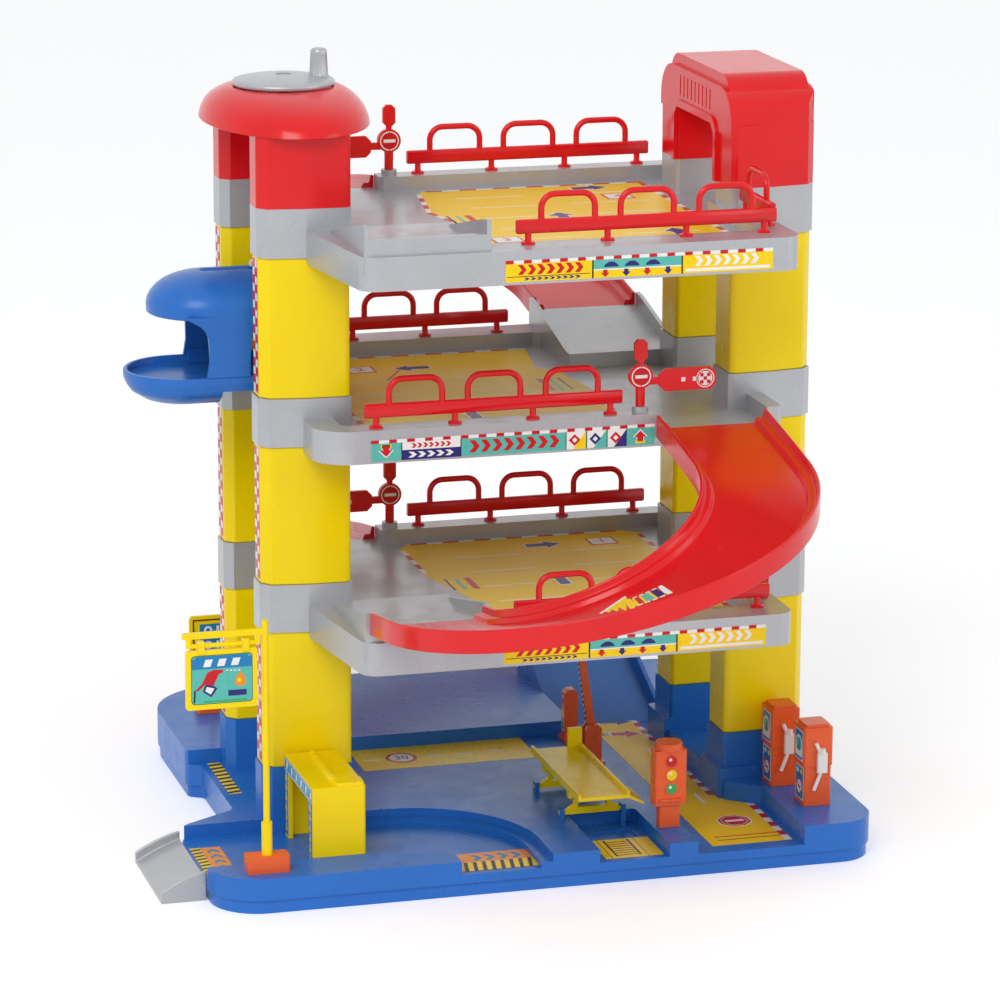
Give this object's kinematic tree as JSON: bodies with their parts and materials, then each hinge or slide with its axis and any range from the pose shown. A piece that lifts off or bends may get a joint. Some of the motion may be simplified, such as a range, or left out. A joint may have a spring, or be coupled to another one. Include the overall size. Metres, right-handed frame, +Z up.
{
  "type": "toy parking garage with lift",
  "caption": "Multi-storey toy parking garage with a hand-cranked lift, curved ramps, fuel pumps, car wash, hoist and swing signs for small toy cars.",
  "frame": {"origin": "on the ground under the vertical axis about which the middle deck is turned half a turn against the other two decks", "axes": "+X to the right along the front, +Y from the front to the back, +Z up"},
  "size_m": [0.4837, 0.686, 0.531],
  "materials": {
    "blue": "glossy moulded plastic",
    "silver": "silver-grey pearl moulded plastic",
    "red": "glossy moulded plastic",
    "yellow": "glossy moulded plastic",
    "orange": "glossy moulded plastic",
    "white": "glossy moulded plastic",
    "screw": "plated steel",
    "cord": "braided cord"
  },
  "bodies": {
    "garage": {"barrier_posts": "orange", "base_tray": "blue", "car_wash": "yellow", "deck_1": "silver", "deck_2": "silver", "deck_3": "silver", "entry_ramp": "silver", "gas_sign_base": "orange", "gas_sign_post": "yellow", "lift_cap": "red", "portal_cap": "red", "pump_1": "orange", "pump_2": "orange", "pump_nozzle_1": "white", "pump_nozzle_2": "white", "rail_front_1": "red", "rail_front_2": "red", "rail_front_3": "red", "rail_rear_1": "red", "rail_rear_2": "red", "rail_rear_3": "red", "rail_side_1": "red", "rail_side_2": "red", "rail_side_3": "red", "ramp_lower": "red", "ramp_middle": "red", "ramp_upper": "red", "side_sign_base": "orange", "side_sign_board": "yellow", "sleeve_front_left_1": "yellow", "sleeve_front_left_2": "yellow", "sleeve_front_left_3": "yellow", "sleeve_front_right_1": "yellow", "sleeve_front_right_2": "yellow", "sleeve_front_right_3": "yellow", "sleeve_rear_left_1": "yellow", "sleeve_rear_left_2": "yellow", "sleeve_rear_left_3": "yellow", "sleeve_rear_right_1": "yellow", "sleeve_rear_right_2": "yellow", "sleeve_rear_right_3": "yellow", "traffic_light": "orange"},
    "lift": {"lift_tray": "blue", "lift_canopy": "blue", "cord_ring": "white", "lift_cord": "cord"},
    "crank": {"crank_handle": "silver", "crank_screw": "screw", "cord_drum": "white"},
    "gas_panel": {"gas_sign_panel": "yellow"},
    "barrier": {"barrier_arm": "orange"},
    "hoist_front": {"hoist_front_legs": "yellow"},
    "hoist_rear": {"hoist_rear_legs": "yellow"},
    "hoist_top": {"hoist_platform": "yellow"},
    "sign_low": {"swing_sign_1": "red"},
    "sign_mid": {"swing_sign_2": "red"},
    "sign_top": {"swing_sign_3": "red"}
  },
  "joints": [
    {"name": "lift_slide", "type": "slide", "parent": "garage", "child": "lift", "axis": [0, 0, 1], "range_m": [-0.284, 0.0985], "deforming": ["lift_cord"]},
    {"name": "crank_turn", "type": "hinge", "parent": "garage", "child": "crank", "pos_m": [-0.157, 0, 0.51], "axis": [0, 0, 1], "range_deg": [-778, 271]},
    {"name": "gas_panel_swing", "type": "hinge", "parent": "garage", "child": "gas_panel", "pos_m": [-0.235, -0.173, 0.178], "axis": [1, 0, 0], "range_deg": [-60, 60]},
    {"name": "barrier_swing", "type": "hinge", "parent": "garage", "child": "barrier", "pos_m": [0.059, 0, 0.044], "axis": [0, 1, 0], "range_deg": [0, 95]},
    {"name": "hoist_front_fold", "type": "hinge", "parent": "garage", "child": "hoist_front", "pos_m": [0.024, -0.118, 0.0275], "axis": [1, 0, 0], "range_deg": [0, 60]},
    {"name": "hoist_level", "type": "hinge", "parent": "hoist_front", "child": "hoist_top", "pos_m": [0.024, -0.118, 0.0405], "axis": [1, 0, 0], "range_deg": [-61, 1]},
    {"name": "hoist_rear_fold", "type": "hinge", "parent": "garage", "child": "hoist_rear", "pos_m": [0.024, -0.058, 0.0275], "axis": [1, 0, 0], "range_deg": [-1, 61]},
    {"name": "sign_low_swing", "type": "hinge", "parent": "garage", "child": "sign_low", "pos_m": [-0.0575, 0.109, 0.18], "axis": [0, 0, 1], "range_deg": [-90, 90]},
    {"name": "sign_mid_swing", "type": "hinge", "parent": "garage", "child": "sign_mid", "pos_m": [0.0575, -0.109, 0.306], "axis": [0, 0, 1], "range_deg": [-90, 90]},
    {"name": "sign_top_swing", "type": "hinge", "parent": "garage", "child": "sign_top", "pos_m": [-0.0575, 0.109, 0.432], "axis": [0, 0, 1], "range_deg": [-90, 90]}
  ],
  "couplings": [
    {"joint": "crank_turn", "follows": "lift_slide", "rad_per_m": 47.62},
    {"joint": "hoist_level", "follows": "hoist_front_fold", "ratio": -1},
    {"joint": "hoist_rear_fold", "follows": "hoist_front_fold", "ratio": 1}
  ]
}
